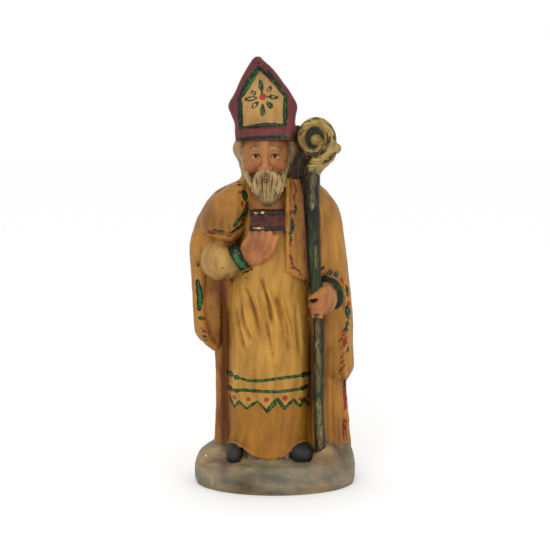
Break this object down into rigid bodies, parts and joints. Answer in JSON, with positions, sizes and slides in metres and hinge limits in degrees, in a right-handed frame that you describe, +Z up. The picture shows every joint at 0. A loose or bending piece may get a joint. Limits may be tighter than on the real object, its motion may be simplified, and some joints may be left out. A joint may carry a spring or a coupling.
{
  "type": "wax saint figure",
  "caption": "Standing bishop saint in painted solid wax, with mitre, book and crozier, cast in one piece with a low oval base.",
  "frame": {"origin": "middle of the flat underside of the oval base, on the ground", "axes": "+Z up, -Y the way the figure faces, +X the side of the crozier"},
  "size_m": [0.0784, 0.0556, 0.1999],
  "materials": {
    "painted_wax": "hand-painted wax, satin, with a brown antique wash"
  },
  "bodies": {
    "root": {"saint_figure": "painted_wax"}
  },
  "joints": []
}
